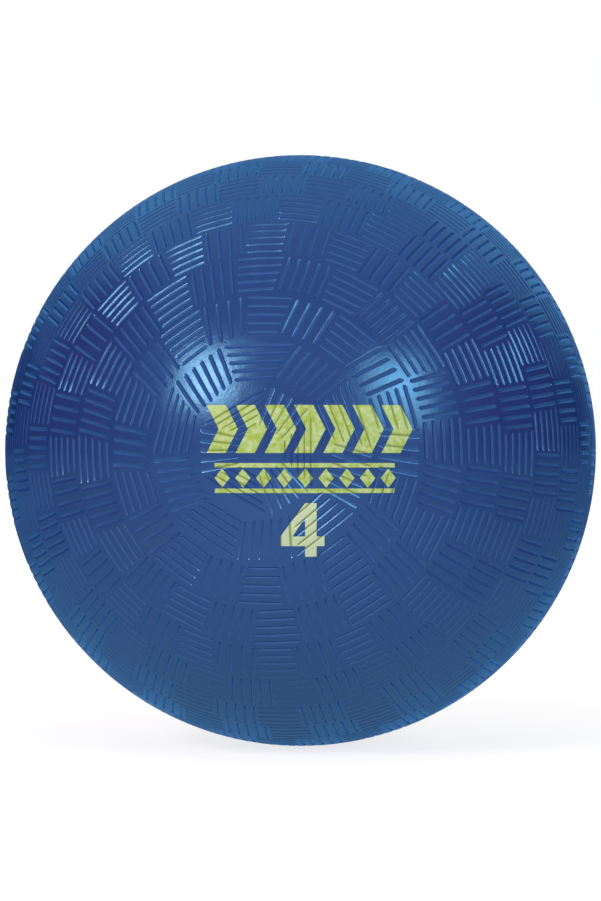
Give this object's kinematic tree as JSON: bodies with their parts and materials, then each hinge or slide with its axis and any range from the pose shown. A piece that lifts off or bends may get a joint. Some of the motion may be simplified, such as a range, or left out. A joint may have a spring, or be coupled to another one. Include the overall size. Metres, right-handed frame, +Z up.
{
  "type": "textured play ball",
  "caption": "Hollow moulded play ball with a basket-weave grip, two bonded plies and a needle valve.",
  "frame": {"origin": "centre of the ball", "axes": "+Y along the valve's axis out of the ball, -Y through the printed pole, +Z up"},
  "size_m": [0.1016, 0.1013, 0.1016],
  "materials": {
    "cover_pvc": "blue moulded PVC, satin gloss",
    "inner_pvc": "plain blue PVC",
    "valve_rubber": "moulded rubber",
    "core_rubber": "soft black rubber",
    "print_ink": "yellow-green ink"
  },
  "bodies": {
    "root": {"cover": "cover_pvc", "inner_ply": "inner_pvc", "valve_housing": "valve_rubber", "valve_core": "core_rubber"}
  },
  "joints": []
}
